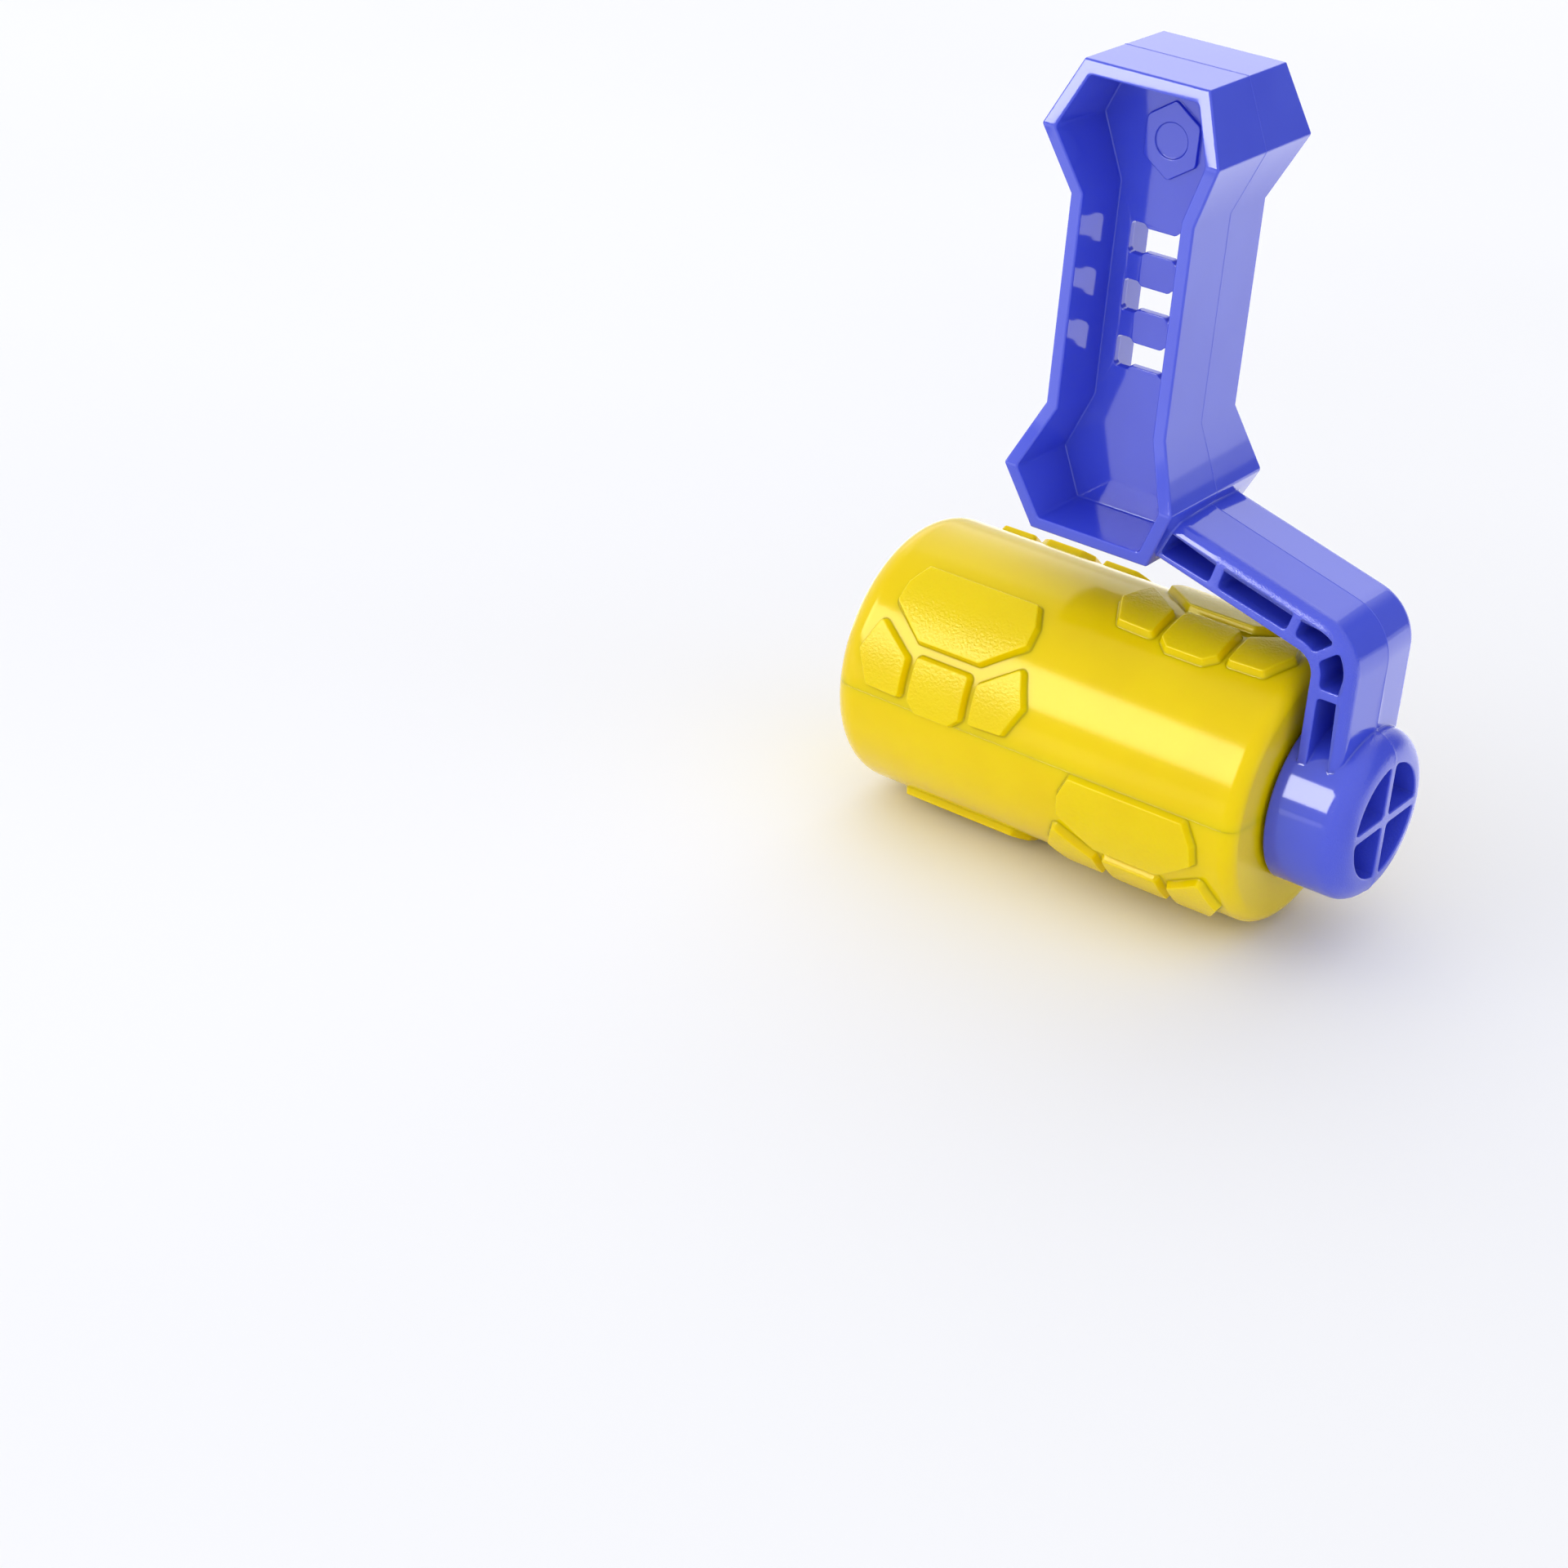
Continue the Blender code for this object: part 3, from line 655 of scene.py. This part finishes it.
def spread(outline, distance, radius):
    """A convex outline, anticlockwise, moved outwards and with each corner replaced by an arc."""
    rounded = []
    for before, corner, after in zip(outline[-1:] + outline, outline, outline[1:] + outline[:1]):
        into = (corner - before).normalized()
        away = (after - corner).normalized()
        turn = into.angle(away)
        outwards = (into - away).normalized() / cos(turn / 2)
        centre = corner + outwards * (distance - radius)
        start = Vector((into.y, -into.x)) * radius
        for step in range(CORNER_STEPS + 1):
            rounded.append(centre + Matrix.Rotation(turn * step / CORNER_STEPS, 2) @ start)
    return rounded


def add_tread_block(bm, outline, x, angle):
    """Adds a block that is made flat from its outline and then wrapped round the drum."""
    flat = bmesh.new()
    corners = spread([Vector(corner) * MM for corner in outline], FOOT_SPREAD, BLOCK_CORNER)
    face = extruded(flat, flat.faces.new([flat.verts.new((*corner, 0.0)) for corner in corners]))
    foot = BLOCK_ROOT + FLANK[0][1] * MM
    bmesh.ops.translate(flat, verts=list(face.verts), vec=(0.0, 0.0, foot))
    for (inset, height), (next_inset, next_height) in zip(FLANK, FLANK[1:]):
        bmesh.ops.inset_region(
            flat,
            faces=[face],
            thickness=(next_inset - inset) * MM,
            depth=(next_height - height) * MM,
            use_even_offset=True,
        )
    pitch = 2 * pi / DRUM_STEPS * DRUM_RADIUS
    for number in range(-BEND_CUTS, BEND_CUTS + 1):
        cut = (0.0, (number + BEND_CUT_SHIFT) * pitch, 0.0)
        bmesh.ops.bisect_plane(flat, geom=whole(flat), plane_co=cut, plane_no=(0.0, 1.0, 0.0))
    bmesh.ops.remove_doubles(flat, verts=flat.verts, dist=0.002 * MM)
    for v in flat.verts:
        height = v.co.z - BLOCK_ROOT
        v.co = on_drum(x + v.co.x, DRUM_RADIUS + height, angle + v.co.y / DRUM_RADIUS)
    mesh = bpy.data.meshes.new("block")
    flat.to_mesh(mesh)
    flat.free()
    bm.from_mesh(mesh)
    bpy.data.meshes.remove(mesh)


def drum_half(name, upper):
    """One half shell with the blocks of the prints whose middles are on it."""
    bm = half_shell()
    turn = DRUM_TURN if upper else DRUM_TURN + pi
    centre = (0.0, 0.0, AXIS_Z)
    bmesh.ops.rotate(bm, verts=bm.verts, cent=centre, matrix=Matrix.Rotation(-turn, 3, "X"))
    for x, first in PRINT_ROWS:
        for number in range(PRINTS_IN_ROW):
            angle = (first + 360.0 / PRINTS_IN_ROW * number) % 360.0
            if (angle < 180.0) == upper:
                for outline in (PAD, MIDDLE_BLOCK, LEFT_BLOCK, RIGHT_BLOCK):
                    add_tread_block(bm, outline, x, radians(angle) + DRUM_TURN)
    made = piece(name, bm)
    finish_shading(made, DRUM_SMOOTH_ANGLE)
    return made


# ---------------------------------------------------------------- materials

def linear(text):
    """An sRGB hex colour as linear RGBA."""
    values = [int(text[i : i + 2], 16) / 255 for i in (1, 3, 5)]
    return (*(v / 12.92 if v <= 0.04045 else ((v + 0.055) / 1.055) ** 2.4 for v in values), 1.0)


def connect(tree, made, inputs):
    """Sets a node's inputs to numbers, colours and sockets; a node stands for its first output."""
    for key, value in inputs.items():
        if isinstance(value, bpy.types.Node):
            value = value.outputs[0]
        if isinstance(value, bpy.types.NodeSocket):
            tree.links.new(value, made.inputs[key])
        else:
            made.inputs[key].default_value = value


def node(tree, kind, inputs=None, **settings):
    """Adds a shader node with its settings and its inputs."""
    made = tree.nodes.new(f"ShaderNode{kind}")
    for key, value in settings.items():
        setattr(made, key, value)
    connect(tree, made, inputs or {})
    return made


def new_material(name):
    """A new material with its node tree, its shader and the object's own coordinates."""
    made = bpy.data.materials.new(name)
    made.use_nodes = True
    tree = made.node_tree
    return made, tree, tree.nodes["Principled BSDF"], node(tree, "TexCoord").outputs["Object"]


def fading_in(tree, *limits):
    """1 where each value is past its second limit, falling to 0 where one hasn't reached its first."""
    share = 1.0
    for value, (none, full) in limits:
        inputs = {"Value": value, "From Min": none, "From Max": full}
        passed = node(tree, "MapRange", inputs, interpolation_type="SMOOTHSTEP")
        share = node(tree, "Math", {0: share, 1: passed}, operation="MULTIPLY")
    return share


def two_shades(tree, at, patch, softness, first, second):
    """Two near shades of a colour, in soft patches of about a size."""
    cloud = node(tree, "TexNoise", {"Vector": at, "Scale": 1 / patch})
    share = fading_in(tree, (cloud, (0.5 - softness, 0.5 + softness)))
    # sockets 0, 6 and 7 are the factor and the two colours; output 2 is the mixed colour
    return node(tree, "Mix", {0: share, 6: linear(first), 7: linear(second)}, data_type="RGBA").outputs[2]


def from_drum_axis(tree, at):
    """How far a place is from the drum's axis."""
    moved = node(tree, "VectorMath", {0: at, 1: (0.0, 0.0, AXIS_Z)}, operation="SUBTRACT")
    across = node(tree, "VectorMath", {0: moved, 1: (0.0, 1.0, 1.0)}, operation="MULTIPLY")
    return node(tree, "VectorMath", {0: across}, operation="LENGTH").outputs["Value"]


def moulded_skin(tree, at, grained, polish, grain, wave):
    """Shader inputs for a polished, faintly wavy skin, duller and with fine grain where grained is 1.

    Polish is the roughness off and on the grain; grain is a size, a height and a detail; wave is a size, a
    height and a strength.
    """
    grain_size, grain_height, grain_detail = grain
    wave_size, wave_height, wave_strength = wave
    dulling = {"Value": grained, "To Min": polish[0], "To Max": polish[1]}
    swell = {"Vector": at, "Scale": 1 / wave_size, "Detail": 1.0, "Roughness": 0.4}
    waves = node(tree, "TexNoise", swell)
    wavy = node(tree, "Bump", {"Height": waves, "Distance": wave_height, "Strength": wave_strength})
    grains = node(tree, "TexNoise", {"Vector": at, "Scale": 1 / grain_size, "Detail": grain_detail})
    height = node(tree, "Math", {0: grains, 1: grained}, operation="MULTIPLY")
    return {
        "Roughness": node(tree, "MapRange", dulling, interpolation_type="SMOOTHSTEP"),
        "Normal": node(
            tree, "Bump", {"Height": height, "Distance": grain_height, "Strength": 0.9, "Normal": wavy}
        ),
    }


def blue_polypropylene():
    """Moulded polypropylene: a glossy, faintly wavy skin that light enters a little, and a fine eroded
    grain on the arm's edges and the hub's outer band, which breaks up their reflections."""
    made, tree, shader, at = new_material("blue_moulded_polypropylene")
    x, y, z = node(tree, "SeparateXYZ", {0: at}).outputs
    depth = node(tree, "Math", {0: y}, operation="ABSOLUTE")
    on_arm = fading_in(tree, (x, GRAINED_ARM_X), (z, GRAINED_ARM_Z), (depth, GRAINED_ARM_DEPTH))
    on_hub = fading_in(tree, (x, GRAINED_HUB_X), (from_drum_axis(tree, at), GRAINED_HUB_RADIUS))
    grained = node(tree, "Math", {0: on_arm, 1: on_hub}, operation="MAXIMUM")
    colour = {
        "Base Color": two_shades(tree, at, 24 * MM, 0.15, "#4150D5", "#4656D9"),
        "IOR": 1.6,
        "Subsurface Weight": 0.25,
        "Subsurface Radius": (0.25, 0.3, 1.0),
        "Subsurface Scale": 2.0 * MM,
    }
    # a spark-eroded mould's grain is about 0.1 mm wide, too fine to show, so it is drawn at 0.3 mm
    grain, wave = (0.3 * MM, 0.06 * MM, 1.0), (11.0 * MM, 0.10 * MM, 0.12)
    connect(tree, shader, colour | moulded_skin(tree, at, grained, (0.09, 0.22), grain, wave))
    return made


def yellow_polypropylene():
    """Moulded polypropylene: a glossy, faintly rippled barrel that light enters deeply, with reflections
    warmed by the colour beneath, and a leathery grain on the tread's tops, which makes them satin."""
    made, tree, shader, at = new_material("yellow_moulded_polypropylene")
    on_tops = fading_in(tree, (from_drum_axis(tree, at), GRAINED_TREAD_RADIUS))
    colour = {
        "Base Color": two_shades(tree, at, 18 * MM, 0.15, "#EECE00", "#F2D300"),
        "IOR": 1.41,
        "Specular Tint": linear("#FFF6B0"),
        "Subsurface Weight": 0.5,
        "Subsurface Radius": (1.0, 0.8, 0.1),
        "Subsurface Scale": 2.0 * MM,
    }
    grain, wave = (0.5 * MM, 0.11 * MM, 2.0), (12.0 * MM, 0.08 * MM, 0.2)
    connect(tree, shader, colour | moulded_skin(tree, at, on_tops, (0.15, 0.26), grain, wave))
    return made


def grey_acetal():
    """Turned acetal: an even satin grey with fine rings from turning round the spindle's axis."""
    made, tree, shader, at = new_material("grey_turned_acetal")
    x, _, _ = node(tree, "SeparateXYZ", {0: at}).outputs
    turns = node(tree, "Math", {0: x, 1: 2 * pi / (0.4 * MM)}, operation="MULTIPLY")
    rings = node(tree, "Math", {0: turns}, operation="SINE")
    satin = {
        "Base Color": two_shades(tree, at, 6 * MM, 0.2, "#C2C4C6", "#CACBCD"),
        "Roughness": 0.4,
        "Normal": node(tree, "Bump", {"Height": rings, "Distance": 0.01 * MM, "Strength": 0.5}),
    }
    connect(tree, shader, satin)
    return made


def paper_floor():
    """Matt pale studio paper: almost no shine, and a tooth too fine to see as more than softness."""
    made, tree, shader, at = new_material("pale_studio_paper")
    tooth = node(tree, "TexNoise", {"Vector": at, "Scale": 1 / (1.5 * MM)})
    matt = {
        "Base Color": two_shades(tree, at, 300 * MM, 0.2, "#F3F3F4", "#F6F6F7"),
        "Roughness": 0.8,
        "Specular IOR Level": 0.1,
        "Normal": node(tree, "Bump", {"Height": tooth, "Distance": 0.02 * MM, "Strength": 0.3}),
    }
    connect(tree, shader, matt)
    return made


def cover(made, material):
    made.data.materials.clear()
    made.data.materials.append(material)


# ---------------------------------------------------------------- studio

def area_light(name, toward, distance, size, radiance, gloss_only=False):
    """A rectangular soft light at a distance in a direction from the object, facing it."""
    data = bpy.data.lights.new(name, "AREA")
    data.shape = "RECTANGLE"
    data.size, data.size_y = size
    data.energy = radiance * pi * size[0] * size[1]
    made = bpy.data.objects.new(name, data)
    aim = Vector(toward).normalized()
    made.location = AIM + aim * distance
    made.rotation_mode = "QUATERNION"
    made.rotation_quaternion = aim.to_track_quat("Z", "Y")
    made.visible_camera = False
    made.visible_diffuse = not gloss_only
    bpy.context.scene.collection.objects.link(made)
    return made


def floor_gleam(name, across, along, radiance):
    """A patch of floor that shines in glossy reflections only, as a brighter sweep would."""
    size = (across[1] - across[0], along[1] - along[0])
    gleam = area_light(name, (0.0, 0.0, 1.0), 0.0, size, radiance, gloss_only=True)
    gleam.location = (sum(across) / 2, sum(along) / 2, FLOOR_GLEAM_HEIGHT)
    gleam.rotation_quaternion = (0.0, 1.0, 0.0, 0.0)


def studio_air():
    """Even white light from all round, with the unlit side of the studio behind and to the right."""
    made = bpy.data.worlds.new("studio_air")
    made.use_nodes = True
    tree = made.node_tree
    direction = node(tree, "TexCoord").outputs["Generated"]
    unlit = node(tree, "VectorMath", {0: direction, 1: UNLIT_SIDE}, operation="DOT_PRODUCT")
    dimming = {
        "Value": unlit.outputs["Value"],
        "From Min": 0.78,
        "From Max": 0.92,
        "To Min": LIT_STRENGTH,
        "To Max": UNLIT_STRENGTH,
    }
    strength = node(tree, "MapRange", dimming, interpolation_type="SMOOTHSTEP")
    connect(tree, tree.nodes["Background"], {"Color": linear(AIR_COLOUR), "Strength": strength})
    return made


def studio():
    bm = bmesh.new()
    bmesh.ops.create_grid(bm, x_segments=8, y_segments=8, size=FLOOR_HALF)
    floor = piece("floor", bm)
    cover(floor, paper_floor())
    bpy.context.scene.world = studio_air()
    for name, (toward, distance, size, soft, gleam) in SOFT_LIGHTS.items():
        area_light(name, toward, distance, size, soft)
        area_light(f"{name}_gleam", toward, distance + GLEAM_GAP, size, gleam, gloss_only=True)
    for name, (across, along, radiance) in FLOOR_GLEAMS.items():
        floor_gleam(name, across, along, radiance)


def camera():
    """Looks down on the front and the hub's side, a little rolled, so that the grip leans to the right."""
    data = bpy.data.cameras.new("camera")
    data.sensor_width = 36.0
    data.lens = CAMERA_LENS
    data.clip_start = 0.01
    data.clip_end = 50.0
    made = bpy.data.objects.new("camera", data)
    around = Matrix.Rotation(CAMERA_AZIMUTH, 4, "Z")
    down = Matrix.Rotation(pi / 2 - CAMERA_ELEVATION, 4, "X")
    roll = Matrix.Rotation(CAMERA_ROLL, 4, "Z")
    made.matrix_world = Matrix.Translation(CAMERA_PLACE) @ around @ down @ roll
    bpy.context.scene.collection.objects.link(made)
    bpy.context.scene.camera = made


def main():
    blue = blue_polypropylene()
    yellow = yellow_polypropylene()
    body = handle()
    cover(body, blue)
    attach(body, "handle")
    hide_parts("handle_moulding")
    for name, upper in (("upper", True), ("lower", False)):
        half = drum_half(f"drum_{name}_shell", upper)
        cover(half, yellow)
        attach(half, "drum")
        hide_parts(f"drum_{name}_half")
    cover(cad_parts["spindle"], grey_acetal())
    studio()
    camera()
    bpy.context.scene.view_settings.view_transform = "Standard"


main()
